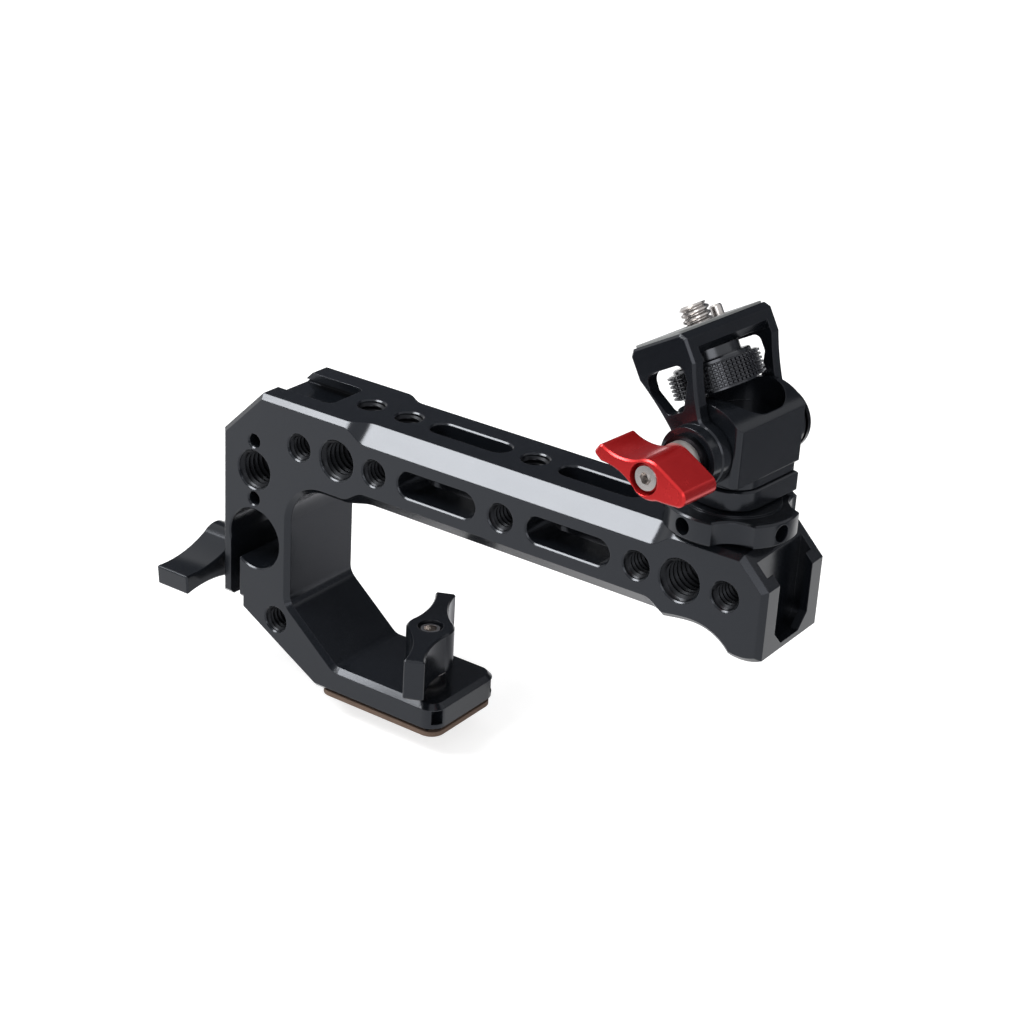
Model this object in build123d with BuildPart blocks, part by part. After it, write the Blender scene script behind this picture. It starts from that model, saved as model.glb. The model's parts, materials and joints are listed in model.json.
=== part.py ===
"""Camera top handle with a 15 mm rod clamp, a screw-down foot and a swivel monitor mount.

Millimetres, +Z up, X along the handle.  The origin is on the axis of the foot's stud,
at the underside of the foot, where the handle sits on a camera.
"""
import os
from math import cos, radians, sin, sqrt

from build123d import *

os.makedirs("parts", exist_ok=True)

# ---------------------------------------------------------------- driving dimensions
handle_length = 147.8
handle_width = 25.3
handle_height = 72.4        # underside of the foot pad to the top of the beam
stud_from_end = 54.7        # left end of the handle to the axis of the foot's stud
beam_depth = 20.2
beam_middle = -10.1         # centre line of the beam's side holes, from its top
edge_chamfer = 1.2          # on both side outlines
waist_chamfer = 4.0         # where the beam's four edges are cut back for the hand
waist_ends = (36.5, 43.5, 119.0, 125.5)
half_width = handle_width / 2

quarter_radius = 3.2        # 1/4"-20 hole at its major diameter
three_eighth_radius = 4.8   # 3/8"-16 hole at its major diameter
pin_hole_radius = 1.6       # locating pins beside the 3/8" hole of the post
hole_rim = 0.35
side_quarter_holes = (23.98, 46.06, 81.41, 116.63, 138.27)
side_three_eighth_holes = (35.13, 127.3)
top_quarter_holes = (46.06, 81.41)
top_shallow_hole = 35.13    # a 1/4" hole that stops above the side hole below it
post_three_eighth_hole = (10.26, -19.77)
post_pin_holes = ((10.26, -12.35), (10.26, -27.19))
post_quarter_hole = (17.43, -57.15)
slot_places = (63.7, 99.1)
slot_length = 21.5
slot_width = 6.2

rod_radius = 7.6            # 15 mm rod with a free fit
rod_place = (10.41, -37.72)
clamp_leg = 3.03            # thickness of the springy leg
clamp_slit = 2.92
clamp_axis = -50.8          # height of the clamp screw
clamp_screw_radius = 2.5
running_gap = 0.05          # radial, shafts in their holes
face_gap = 0.1              # between faces that turn on each other

shoe_width = 18.7           # accessory shoe slots, under their lips
shoe_lip = 1.9
left_shoe_opening = 12.5    # between the lips
left_shoe_depth = 4.1
left_shoe_end = 28.0        # where the slot stops, from the handle's left end
right_shoe_opening = 14.0
right_shoe_depth = 4.6
right_shoe_end = -21.0      # where the slot stops, from the top of the beam
right_shoe_corner = 3.2

foot_top = -63.93
foot_bottom = -71.2
foot_end = 66.4
foot_corner = 4.0
pocket_width = 2.4          # stepped pockets in the foot's end
pocket_height = 3.6
pocket_depth = 3.0

knob_hub = 5.75
knob_tip = 2.6              # half the width of a wing's flat end
knob_waist = 2.25

mount_from_end = 130.9      # left end of the handle to the swivel axis
mount_pan = -5.0            # the monitor mount's turn about its stud
tilt_height = 19.6          # tilt axis above the beam's top
tilt_angle = 30.0           # bracket's lean towards the left end
wheel_radius = 14.56
bolt_radius = 3.0
screw_radius = 3.175        # 1/4"-20 screw at its major diameter

# ---------------------------------------------------------------- planes
left_end = -stud_from_end
# The handle seen from the front: x from its left end, y up from its top face.
side = Plane(origin=(left_end, 0, handle_height), x_dir=(1, 0, 0), z_dir=(0, -1, 0))
# The handle seen from above: x from its left end, y from its middle to the back.
top = Plane(origin=(left_end, 0, handle_height), x_dir=(1, 0, 0), z_dir=(0, 0, 1))
left_face = Plane(origin=(left_end, 0, handle_height), x_dir=(0, -1, 0), z_dir=(-1, 0, 0))
right_face = Plane(
    origin=(left_end + handle_length, 0, handle_height), x_dir=(0, 1, 0), z_dir=(1, 0, 0)
)

upright = Vector(0, 0, 1)
mount_u = Vector(cos(radians(mount_pan)), sin(radians(mount_pan)), 0)
mount_v = Vector(-sin(radians(mount_pan)), cos(radians(mount_pan)), 0)
mount_origin = Vector(left_end + mount_from_end, 0, handle_height)
tilt_origin = mount_origin + upright * tilt_height
bracket_p = mount_u * cos(radians(tilt_angle)) + upright * sin(radians(tilt_angle))
bracket_q = upright * cos(radians(tilt_angle)) - mount_u * sin(radians(tilt_angle))

mount = Plane(origin=mount_origin, x_dir=mount_u, z_dir=upright)
# Looking along the tilt axis from the front: x across the mount, y up from the axis.
mount_side = Plane(origin=tilt_origin, x_dir=mount_u, z_dir=-mount_v)
bracket_side = Plane(origin=tilt_origin, x_dir=bracket_p, z_dir=-mount_v)
# The bracket from above: x across it, y along the tilt axis, height from that axis.
bracket_top = Plane(origin=tilt_origin, x_dir=bracket_p, z_dir=bracket_q)


def save(piece, label):
    """Label a finished piece and write it to its own file."""
    piece.label = label
    export_step(piece, f"parts/{label}.step")


def slots(plane, height):
    """The two long screw slots of the beam, on one of its faces."""
    with BuildSketch(plane) as pair:
        with Locations(*[(x, height) for x in slot_places]):
            SlotOverall(slot_length, slot_width)
    return pair.sketch


def rings(plane, inner, outer, low, high):
    """A washer or collar on the plane's axis, from one height above the plane to another."""
    with BuildPart() as washer:
        with BuildSketch(plane.offset(low)):
            Circle(outer)
            Circle(inner, mode=Mode.SUBTRACT)
        extrude(amount=high - low)
    return washer.part


def wing_outline(plane, reach):
    """A wing knob's outline: a round hub with two waisted wings along the plane's x."""
    with BuildSketch(plane) as outline:
        with BuildLine():
            joint = (knob_hub * 0.6, knob_hub * 0.8)
            tip = Line((reach, -knob_tip), (reach, knob_tip))
            flank = ThreePointArc(tip @ 1, (reach * 0.6, knob_waist), joint)
            Line(flank @ 1, (joint[0], -joint[1]))
            ThreePointArc((joint[0], -joint[1]), (reach * 0.6, -knob_waist), tip @ 0)
        make_face()
        mirror(about=Plane.YZ)
        Circle(knob_hub)
        fillet(outline.vertices().sort_by_distance((0, 0, 0))[:4], 2.0)
        fillet(outline.vertices().filter_by_position(Axis.X, reach - 0.1, reach + 0.1), 0.5)
        fillet(outline.vertices().filter_by_position(Axis.X, -reach - 0.1, 0.1 - reach), 0.5)
    return outline.sketch


# ---------------------------------------------------------------- handle
with BuildPart() as handle_body:
    with BuildSketch(side):
        with BuildLine():
            outside = Polyline(
                (handle_length, -22.3),
                (handle_length, -6.5),
                (handle_length - 6.5, 0),
                (12.0, 0),
                (0, -12.0),
                (0, -55.2),
                (clamp_leg + clamp_slit, -55.2),
                (clamp_leg + clamp_slit, -57.65),
                (29.6, foot_bottom),
                (foot_end, foot_bottom),
                (foot_end, foot_top),
            )
            opening = FilletPolyline(
                outside @ 1,
                (35.9, foot_top),
                (21.0, -51.6),
                (21.0, -beam_depth),
                (119.5, -beam_depth),
                radius=[3.0, 4.0, 10.0],
            )
            rise = Spline(opening @ 1, (131.0, -19.0), tangents=((1, 0), (1, 0)))
            finger_scoop = TangentArc(rise @ 1, (139.8, -23.15), tangent=(1, 0))
            toe = ThreePointArc(finger_scoop @ 1, (144.0, -23.5), outside @ 0)
        make_face()
    extrude(amount=half_width)

    # The front half gets its rounded foot corner and its chamfered outline, then the
    # back half is its mirror image.
    foot_corner_edge = handle_body.edges().filter_by(Axis.Z).filter_by_position(
        Axis.X, left_end + foot_end - 0.1, left_end + foot_end + 0.1
    )
    fillet(foot_corner_edge.sort_by(Axis.Y)[0], foot_corner)
    outline = handle_body.faces().filter_by(Axis.Y).sort_by(Axis.Y)[0].edges()
    smooth_edge = left_end + foot_end - foot_corner
    sharp = outline.filter_by(lambda edge: abs(edge.center().X - smooth_edge) > 0.1)
    chamfer(sharp.sort_by(Axis.X), edge_chamfer)
    mirror(about=Plane.XZ)

    # The beam's four long edges are cut back between the heads.  Each cut is drawn on a
    # plane that stands at 45 degrees on its edge, so the deep and the shallow chamfer
    # are parallel flats and the runs between them are smooth.
    for toward_y in (-1, 1):
        for toward_z, edge_height in ((1, 0), (-1, -beam_depth)):
            corner = (left_end, toward_y * half_width, handle_height + edge_height)
            slope = Plane(origin=corner, x_dir=(1, 0, 0), z_dir=(0, -toward_z, toward_y))
            shallow = -edge_chamfer / sqrt(2) + 0.03
            deep = -waist_chamfer / sqrt(2)
            with BuildSketch(slope):
                with BuildLine():
                    entry = Spline(
                        (waist_ends[0], shallow), (waist_ends[1], deep), tangents=((1, 0), (1, 0))
                    )
                    run = Line(entry @ 1, (waist_ends[2], deep))
                    leave = Spline(
                        run @ 1, (waist_ends[3], shallow), tangents=((1, 0), (1, 0))
                    )
                    Polyline(leave @ 1, (waist_ends[3], 1), (waist_ends[0], 1), entry @ 0)
                make_face()
            extrude(amount=8, both=True, mode=Mode.SUBTRACT)

    # Holes across the handle.
    with BuildSketch(side):
        with Locations(*[(x, beam_middle) for x in side_quarter_holes], post_quarter_hole):
            Circle(quarter_radius)
        with Locations(*[(x, beam_middle) for x in side_three_eighth_holes], post_three_eighth_hole):
            Circle(three_eighth_radius)
        with Locations(*post_pin_holes):
            Circle(pin_hole_radius)
    extrude(amount=half_width, both=True, mode=Mode.SUBTRACT)
    rims = handle_body.edges(Select.LAST).group_by(Axis.Y)
    chamfer(rims[0] + rims[-1], hole_rim)
    extrude(slots(side, beam_middle), amount=half_width, both=True, mode=Mode.SUBTRACT)
    rims = handle_body.edges(Select.LAST).group_by(Axis.Y)
    chamfer(rims[0] + rims[-1], hole_rim)

    # Slots and holes from above.
    extrude(slots(top, 0), amount=-beam_depth, mode=Mode.SUBTRACT)
    rims = handle_body.edges(Select.LAST).group_by(Axis.Z)
    chamfer(rims[0] + rims[-1], hole_rim)
    with BuildSketch(top):
        with Locations(*[(x, 0) for x in top_quarter_holes]):
            Circle(quarter_radius)
    extrude(amount=-6.0, mode=Mode.SUBTRACT)
    chamfer(handle_body.edges(Select.LAST).group_by(Axis.Z)[-1], hole_rim)
    with BuildSketch(top):
        with Locations((top_shallow_hole, 0)):
            Circle(quarter_radius)
        with Locations((mount_from_end, 0)):
            Circle(three_eighth_radius)
    extrude(amount=-4.7, mode=Mode.SUBTRACT)
    chamfer(handle_body.edges(Select.LAST).group_by(Axis.Z)[-1], hole_rim)

    # Accessory shoe in the top of the left head, open through the sloped corner.
    shoe_run = left_shoe_end + 2
    with BuildSketch(top):
        with Locations((left_shoe_end - shoe_run / 2, 0)):
            RectangleRounded(shoe_run, left_shoe_opening, 2.0)
    extrude(amount=-left_shoe_depth, mode=Mode.SUBTRACT)
    with BuildSketch(top.offset(-shoe_lip)):
        with Locations((left_shoe_end - 1 - shoe_run / 2, 0)):
            RectangleRounded(shoe_run, shoe_width, 3.0)
    extrude(amount=shoe_lip - left_shoe_depth, mode=Mode.SUBTRACT)

    # Accessory shoe in the right end face, open through the sloped corner.
    with BuildSketch(right_face):
        with Locations((0, right_shoe_end / 2 + 1)):
            shoe_mouth = Rectangle(right_shoe_opening, 2 - right_shoe_end)
        chamfer(shoe_mouth.vertices().group_by(Axis.Y)[0], right_shoe_corner)
    extrude(amount=-right_shoe_depth, mode=Mode.SUBTRACT)
    with BuildSketch(right_face.offset(-shoe_lip)):
        with Locations((0, right_shoe_end / 2 + 1)):
            RectangleRounded(shoe_width, 2.8 - right_shoe_end, 3.0)
    extrude(amount=shoe_lip - right_shoe_depth, mode=Mode.SUBTRACT)

    # Rod bore, the slit below it and the clamp screw's hole.
    with BuildSketch(side):
        with Locations(rod_place):
            Circle(rod_radius)
    extrude(amount=half_width, both=True, mode=Mode.SUBTRACT)
    rims = handle_body.edges(Select.LAST).group_by(Axis.Y)
    chamfer(rims[0] + rims[-1], hole_rim)
    with BuildSketch(side):
        with Locations((clamp_leg + clamp_slit / 2, -49.5)):
            Rectangle(clamp_slit, 20.0)
    extrude(amount=half_width, both=True, mode=Mode.SUBTRACT)
    with BuildSketch(left_face):
        with Locations((0, clamp_axis)):
            Circle(clamp_screw_radius + running_gap)
    extrude(amount=-15.2, mode=Mode.SUBTRACT)

    # Stud hole of the foot, and the small stepped pockets at its two outer corners.
    with BuildSketch(top.offset(foot_bottom)):
        with Locations((stud_from_end, 0)):
            Circle(screw_radius + running_gap)
    extrude(amount=foot_top - foot_bottom, mode=Mode.SUBTRACT)
    pocket_side = right_face.offset(foot_end - handle_length)
    with BuildSketch(pocket_side):
        for toward_y in (-1, 1):
            with Locations((toward_y * 10.65, (foot_top + foot_bottom) / 2 + 0.45)):
                Rectangle(pocket_width, pocket_height)
            with Locations((toward_y * 10.9, foot_bottom + 0.6)):
                Rectangle(pocket_width + 1.1, 1.2)
    extrude(amount=-pocket_depth, mode=Mode.SUBTRACT)
save(handle_body.part, "handle_body")

with BuildPart() as foot_pad:
    with BuildSketch(top.offset(-handle_height)):
        with Locations(((30.6 + foot_end - 0.5) / 2, 0)):
            RectangleRounded(foot_end - 0.5 - 30.6, handle_width - 1.2, foot_corner - 0.5)
        with Locations((stud_from_end, 0)):
            Circle(4.0, mode=Mode.SUBTRACT)
    extrude(amount=handle_height + foot_bottom)
save(foot_pad.part, "foot_pad")

# ---------------------------------------------------------------- foot knob
foot_knob_angle = -64.6
foot_knob_top = handle_height - 50.9
foot_knob_bottom = handle_height - 61.2
foot_knob_face = Plane(
    origin=(0, 0, foot_knob_bottom),
    x_dir=(cos(radians(foot_knob_angle)), sin(radians(foot_knob_angle)), 0),
    z_dir=(0, 0, 1),
)
stud_head_radius = 2.6

with BuildPart() as foot_wing_knob:
    extrude(wing_outline(foot_knob_face, 18.2), amount=foot_knob_top - foot_knob_bottom)
    flat_ends = foot_wing_knob.faces().filter_by(Axis.Z)
    chamfer(flat_ends.edges(), 0.4)
    with BuildSketch(Plane.XY.offset(foot_knob_top)):
        Circle(3.1)
    extrude(amount=-1.2, mode=Mode.SUBTRACT)
    Hole(stud_head_radius)
save(foot_wing_knob.part, "foot_wing_knob")

with BuildPart() as foot_stud:
    with BuildSketch(Plane.XZ):
        with BuildLine():
            Polyline(
                (0, -5.2),
                (screw_radius - 0.5, -5.2),
                (screw_radius, -4.7),
                (screw_radius, 0.6),
                (2.5, 0.6),
                (2.5, 1.6),
                (screw_radius, 1.6),
                (screw_radius, foot_knob_bottom),
                (stud_head_radius, foot_knob_bottom),
                (stud_head_radius, foot_knob_top - 0.9),
                (stud_head_radius - 0.3, foot_knob_top - 0.6),
                (0, foot_knob_top - 0.6),
                close=True,
            )
        make_face()
    revolve(axis=Axis.Z)
    with BuildSketch(Plane.XY.offset(foot_knob_top - 0.6)):
        RegularPolygon(1.5, 6)
    extrude(amount=-1.8, mode=Mode.SUBTRACT)
save(foot_stud.part, "foot_stud")
save(rings(Plane.XY, screw_radius + running_gap, 4.4, 10.1, foot_knob_bottom), "foot_knob_washer")

# ---------------------------------------------------------------- rod clamp knob
rod_knob_angle = -175.5
rod_knob_reach = 20.5
rod_knob_outer = 14.1
rod_knob_inner = 4.1
# The knob's axis: heights above this plane run outwards, away from the handle.
clamp_line = Plane(
    origin=(left_end, 0, handle_height + clamp_axis),
    x_dir=(0, cos(radians(rod_knob_angle)), sin(radians(rod_knob_angle))),
    z_dir=(-1, 0, 0),
)

with BuildPart() as rod_wing_knob:
    extrude(
        wing_outline(clamp_line.offset(rod_knob_inner), rod_knob_reach),
        amount=rod_knob_outer - rod_knob_inner,
    )
    flat_ends = rod_wing_knob.faces().filter_by(Axis.X)
    chamfer(flat_ends.edges(), 0.4)
    with BuildSketch(clamp_line.offset(1.4)):
        Circle(4.3)
    extrude(amount=rod_knob_inner - 1.4)
    with BuildSketch(clamp_line.offset(rod_knob_outer)):
        Circle(3.1)
    extrude(amount=-1.2, mode=Mode.SUBTRACT)
    with BuildSketch(clamp_line):
        Circle(clamp_screw_radius)
    extrude(amount=rod_knob_outer, mode=Mode.SUBTRACT)
save(rod_wing_knob.part, "rod_wing_knob")

with BuildPart() as rod_clamp_screw:
    with BuildSketch(clamp_line.offset(-14.6)):
        Circle(clamp_screw_radius)
    extrude(amount=14.6 + rod_knob_outer - 0.6)
    chamfer(rod_clamp_screw.faces().filter_by(Axis.X).edges(), 0.35)
    with BuildSketch(clamp_line.offset(rod_knob_outer - 0.6)):
        RegularPolygon(1.45, 6)
    extrude(amount=-1.8, mode=Mode.SUBTRACT)
save(rod_clamp_screw.part, "rod_clamp_screw")
save(
    rings(clamp_line, clamp_screw_radius + running_gap, 4.8, face_gap, 1.4 - face_gap),
    "rod_clamp_washer",
)

# ---------------------------------------------------------------- monitor mount: base
wheel_bottom = 0.4
wheel_top = 5.8
base_bottom = 6.4
base_top = 11.0
groove_depth = 0.75         # shallow groove between the base and the block
block_bottom = 13.2
spigot_radius = 3.5
spigot_top = 15.9
grub_height = 14.8

with BuildPart() as mount_stud:
    with BuildSketch(Plane(origin=mount_origin, x_dir=mount_u, z_dir=-mount_v)):
        with BuildLine():
            Polyline(
                (0, -4.4),
                (4.3, -4.4),
                (three_eighth_radius - 0.04, -3.9),
                (three_eighth_radius - 0.04, base_bottom),
                (spigot_radius, base_bottom),
                (spigot_radius, grub_height - 0.7),
                (2.6, grub_height - 0.7),
                (2.6, grub_height + 0.7),
                (spigot_radius, grub_height + 0.7),
                (spigot_radius, spigot_top),
                (0, spigot_top),
                close=True,
            )
        make_face()
    revolve(axis=Axis(mount_origin, upright))
save(mount_stud.part, "mount_stud")

with BuildPart() as lock_wheel:
    with BuildSketch(mount.offset(wheel_bottom)):
        Circle(wheel_radius)
        with PolarLocations(19.0, 4, start_angle=-58 - mount_pan):
            Circle(6.8, mode=Mode.SUBTRACT)
    extrude(amount=wheel_top - wheel_bottom)
    chamfer(lock_wheel.faces().filter_by(Axis.Z).edges(), 0.4)
    with BuildSketch(mount.offset(wheel_top)):
        Circle(10.6)
    extrude(amount=base_bottom - wheel_top - face_gap)
    with BuildSketch(mount):
        Circle(three_eighth_radius + 0.02)
    extrude(amount=base_bottom, mode=Mode.SUBTRACT)
    # A tommy-bar hole in each of the four lobes.
    for lobe in range(4):
        angle = radians(-103 + 90 * lobe)
        outward = Vector(cos(angle), sin(angle), 0)
        lobe_face = Plane(
            origin=mount_origin + outward * (wheel_radius + 1) + upright * 3.1,
            x_dir=upright,
            z_dir=outward,
        )
        with BuildSketch(lobe_face):
            Circle(1.9)
        extrude(amount=-6.0, mode=Mode.SUBTRACT)
save(lock_wheel.part, "lock_wheel")


def base_outline(height, inset):
    """The swivel base from above: round towards the front, square towards the back."""
    with BuildSketch(mount.offset(height)) as outline:
        with Locations((0, 1.475)):
            plan = Rectangle(16.3 - 2 * inset, 20.65 - 2 * inset)
        fillet(plan.vertices().group_by(Axis.Y)[0], 7.0 - inset)
        fillet(plan.vertices().group_by(Axis.Y)[-1], 1.2 - inset)
    return outline.sketch


with BuildPart() as swivel_base:
    extrude(base_outline(base_bottom, 0), amount=base_top - base_bottom)
    chamfer(swivel_base.faces().filter_by(Axis.Z).edges(), 0.4)
    with BuildSketch(mount):
        Circle(spigot_radius)
    extrude(amount=base_top, mode=Mode.SUBTRACT)
save(swivel_base.part, "swivel_base")

# ---------------------------------------------------------------- monitor mount: block
block_half = 8.1
block_reach = 11.8
barrel_radius = 10.2
barrel_start = sqrt(barrel_radius**2 - block_half**2)
pocket_length = 18.0
pocket_across = 13.8
pocket_middle = 1.4         # from the middle of the barrel towards the back
pocket_floor = 4.4          # above the tilt axis

with BuildPart() as swivel_block:
    with BuildSketch(mount_side):
        with BuildLine():
            sides = Polyline(
                (-block_half, barrel_start),
                (-block_half, block_bottom - tilt_height),
                (block_half, block_bottom - tilt_height),
                (block_half, barrel_start),
            )
            ThreePointArc(sides @ 1, (0, barrel_radius), sides @ 0)
        make_face()
    extrude(amount=block_reach, both=True)
    upright_edges = swivel_block.edges().filter_by(Axis.Z).sort_by(Axis.Y)
    fillet(upright_edges[:2], 1.5)
    chamfer(swivel_block.edges().filter_by(Axis.Z).sort_by(Axis.Y)[-2:], 0.3)
    chamfer(swivel_block.faces().sort_by(Axis.Z)[0].edges(), 0.4)
    # The narrower foot that turns on the base, so that the ears pass above the base.
    foot_height = block_bottom - base_top - face_gap
    extrude(base_outline(base_top + face_gap, groove_depth), amount=foot_height)
    # A round-ended pocket in the barrel's top, below the thumbwheel.
    with BuildSketch(
        Plane(origin=tilt_origin + upright * barrel_radius, x_dir=mount_v, z_dir=upright)
    ):
        with Locations((pocket_middle, 0)):
            SlotOverall(pocket_length, pocket_across)
    extrude(amount=pocket_floor - barrel_radius, mode=Mode.SUBTRACT)
    with BuildSketch(mount_side):
        Circle(bolt_radius + running_gap)
    extrude(amount=block_reach, both=True, mode=Mode.SUBTRACT)
    with BuildSketch(mount.offset(base_top)):
        Circle(spigot_radius + running_gap)
    extrude(amount=spigot_top + face_gap - base_top, mode=Mode.SUBTRACT)
    with BuildSketch(Plane(origin=mount_origin + upright * grub_height, x_dir=mount_v, z_dir=mount_u)):
        Circle(1.25)
    extrude(amount=-block_half, mode=Mode.SUBTRACT)
save(swivel_block.part, "swivel_block")

with BuildPart() as swivel_grub_screw:
    with BuildSketch(Plane(origin=mount_origin + upright * grub_height, x_dir=-mount_u, z_dir=mount_v)):
        with BuildLine():
            Polyline((2.7, 0), (2.7, 0.5), (3.7, 0.5), (3.7, 1.25), (7.6, 1.25), (7.6, 0), close=True)
        make_face()
    revolve(axis=Axis(mount_origin + upright * grub_height, -mount_u))
    with BuildSketch(
        Plane(origin=mount_origin + upright * grub_height - mount_u * 7.6, x_dir=mount_v, z_dir=-mount_u)
    ):
        RegularPolygon(0.75, 6)
    extrude(amount=-1.2, mode=Mode.SUBTRACT)
save(swivel_grub_screw.part, "swivel_grub_screw")

# ---------------------------------------------------------------- monitor mount: tilt stack
# Distances along the tilt axis, positive towards the front.
ear_inner = 12.1
ear_outer = 15.1
ear_radius = 6.9
ear_edge = 0.5
ear_boss = 17.7
ear_boss_radius = 6.7
ring_front = 19.2
washer_front = 21.1
lever_back = 21.2
lever_front = 32.2
bolt_front = 27.0
lever_screw_radius = 1.95
bolt_hole = bolt_radius + running_gap

with BuildPart() as tilt_bolt:
    with BuildSketch(mount_side.offset(-16.9)):
        Circle(7.1)
    extrude(amount=16.9 - ear_outer - face_gap)
    chamfer(tilt_bolt.edges().group_by(Axis.Y)[-1], 0.6)
    with BuildSketch(mount_side.offset(-ear_outer - face_gap)):
        Circle(bolt_radius)
    extrude(amount=ear_outer + face_gap + bolt_front)
    with BuildSketch(mount_side.offset(bolt_front)):
        Circle(lever_screw_radius + running_gap)
    extrude(amount=-6.0, mode=Mode.SUBTRACT)
save(tilt_bolt.part, "tilt_bolt")

save(rings(mount_side, bolt_hole, 5.3, ear_boss + face_gap, ring_front), "spacer_ring")
save(rings(mount_side, bolt_hole, 4.4, ring_front, washer_front), "lever_washer")
friction_washers = Compound(
    label="friction_washers",
    children=[
        rings(mount_side, bolt_hole, 6.5, block_reach, block_reach + 0.2),
        rings(mount_side, bolt_hole, 6.5, -block_reach - 0.2, -block_reach),
    ],
)
export_step(friction_washers, "parts/friction_washers.step")

with BuildPart() as tilt_lever:
    with BuildSketch(mount_side.offset(lever_back)):
        with BuildLine():
            long_end = Line((-12.8, 1.8), (-11.2, 4.2))
            long_top = ThreePointArc(long_end @ 1, (-6.1, 2.75), (-1.7, 3.6))
            hub_top = ThreePointArc(long_top @ 1, (0.5, 4.3), (2.7, 3.95))
            short_top = ThreePointArc(hub_top @ 1, (6.0, 2.2), (9.4, 0.3))
            short_end = ThreePointArc(short_top @ 1, (10.1, -1.5), (8.6, -3.4))
            short_low = ThreePointArc(short_end @ 1, (5.7, -3.6), (3.2, -3.7))
            hub_low = ThreePointArc(short_low @ 1, (0.6, -4.2), (-2.0, -3.3))
            long_low = ThreePointArc(hub_low @ 1, (-5.4, -0.8), (-10.9, 0.4))
            Line(long_low @ 1, long_end @ 0)
        lever_outline = make_face()
        fillet(lever_outline.vertices(), 0.8)
    extrude(amount=lever_front - lever_back)
    lever_faces = tilt_lever.faces().filter_by(mount_side)
    chamfer(lever_faces.edges(), 0.4)
    with BuildSketch(mount_side.offset(lever_back)):
        Circle(bolt_hole)
    extrude(amount=bolt_front + 0.2 - lever_back, mode=Mode.SUBTRACT)
    with BuildSketch(mount_side.offset(lever_back)):
        Circle(lever_screw_radius + running_gap)
    extrude(amount=lever_front - lever_back, mode=Mode.SUBTRACT)
    with BuildSketch(mount_side.offset(lever_front)):
        Circle(3.4)
    extrude(amount=-3.2, mode=Mode.SUBTRACT)
save(tilt_lever.part, "tilt_lever")

with BuildPart() as lever_screw:
    with BuildSketch(mount_side.offset(lever_front - 3.2)):
        Circle(2.9)
    extrude(amount=2.5)
    chamfer(lever_screw.edges().group_by(Axis.Y)[0], 0.3)
    with BuildSketch(mount_side.offset(lever_front - 3.2)):
        Circle(lever_screw_radius)
    extrude(amount=-7.0)
    with BuildSketch(mount_side.offset(lever_front - 0.7)):
        RegularPolygon(1.5, 6)
    extrude(amount=-1.6, mode=Mode.SUBTRACT)
save(lever_screw.part, "lever_screw")

# ---------------------------------------------------------------- monitor mount: bracket
plate_low = 19.25
plate_high = 24.2
bracket_half = 7.6
plate_bevel = 1.4
pin_place = (0.3, 6.5)
pin_radius = 1.65           # guided in the plate
pin_nose_radius = 1.4       # above the pad
pin_nose_start = 24.8
pin_tip = 27.1
pin_pocket_radius = 2.2
pin_pocket_top = 22.95

with BuildPart() as bracket:
    with BuildSketch(bracket_side) as ears:
        with BuildLine():
            left_flank = ThreePointArc((-3.9, 5.0), (-5.2, 10.8), (-bracket_half, 17.7))
            crown = Polyline(
                left_flank @ 1,
                (-bracket_half, 22.9),
                (1.15 - bracket_half, plate_high),
                (bracket_half - 1.15, plate_high),
                (bracket_half, 22.9),
                (bracket_half, 17.7),
            )
            right_flank = ThreePointArc(crown @ 1, (5.2, 10.8), (3.9, 5.0))
            Line(right_flank @ 1, left_flank @ 0)
        make_face()
        Circle(ear_radius)
        necks = ears.vertices().filter_by(
            lambda corner: corner.Y > 3 and abs(corner.X**2 + corner.Y**2 - ear_radius**2) < 0.1
        )
        fillet(necks, 2.0)
    extrude(amount=ear_outer, both=True)
    ear_faces = bracket.faces().filter_by(bracket_side)
    chamfer(ear_faces.edges(), ear_edge)
    with BuildSketch(bracket_side):
        with BuildLine():
            FilletPolyline(
                (-5.2, 18.4),
                (4.4, 18.4),
                (4.4, 14.6),
                (1.0, 9.2),
                (-3.1, 9.2),
                (-5.6, 14.6),
                radius=[2.2, 1.6, 1.2, 1.2, 1.6, 1.6],
                close=True,
            )
        make_face()
    extrude(amount=ear_outer, both=True, mode=Mode.SUBTRACT)
    # The space between the two ears, below the plate, and the plate's bevelled lower edges.
    with BuildSketch(bracket_top.offset(plate_low)):
        Rectangle(2 * bracket_half + 2, 2 * ear_inner)
    extrude(amount=-plate_low - 10, mode=Mode.SUBTRACT)
    inner_corners = bracket.edges().filter_by(Axis(tilt_origin, bracket_p)).filter_by(
        lambda edge: abs(abs(bracket_top.to_local_coords(edge.center()).Y) - ear_inner) < 0.01
        and abs(bracket_top.to_local_coords(edge.center()).Z - plate_low) < 0.01
    )
    fillet(inner_corners, 0.8)
    with BuildSketch(bracket_side):
        for toward_p in (-1, 1):
            with BuildLine():
                Polyline(
                    (toward_p * (bracket_half + 0.1), plate_low - 0.1),
                    (toward_p * (bracket_half + 0.1), plate_low + plate_bevel + 0.1),
                    (toward_p * (bracket_half - plate_bevel - 0.1), plate_low - 0.1),
                    close=True,
                )
            make_face()
    extrude(amount=ear_inner, both=True, mode=Mode.SUBTRACT)
    with BuildSketch(bracket_side.offset(ear_outer)):
        Circle(ear_boss_radius)
    extrude(amount=ear_boss - ear_outer)
    with BuildSketch(bracket_side):
        Circle(bolt_hole)
    extrude(amount=ear_boss, both=True, mode=Mode.SUBTRACT)
    with BuildSketch(bracket_top.offset(plate_high)):
        Circle(screw_radius + running_gap)
        with Locations(pin_place):
            Circle(pin_radius + running_gap)
    extrude(amount=plate_low - plate_high, mode=Mode.SUBTRACT)
    with BuildSketch(bracket_top.offset(plate_low)):
        with Locations(pin_place):
            Circle(pin_pocket_radius)
    extrude(amount=pin_pocket_top - plate_low, mode=Mode.SUBTRACT)
save(bracket.part, "bracket")

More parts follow.
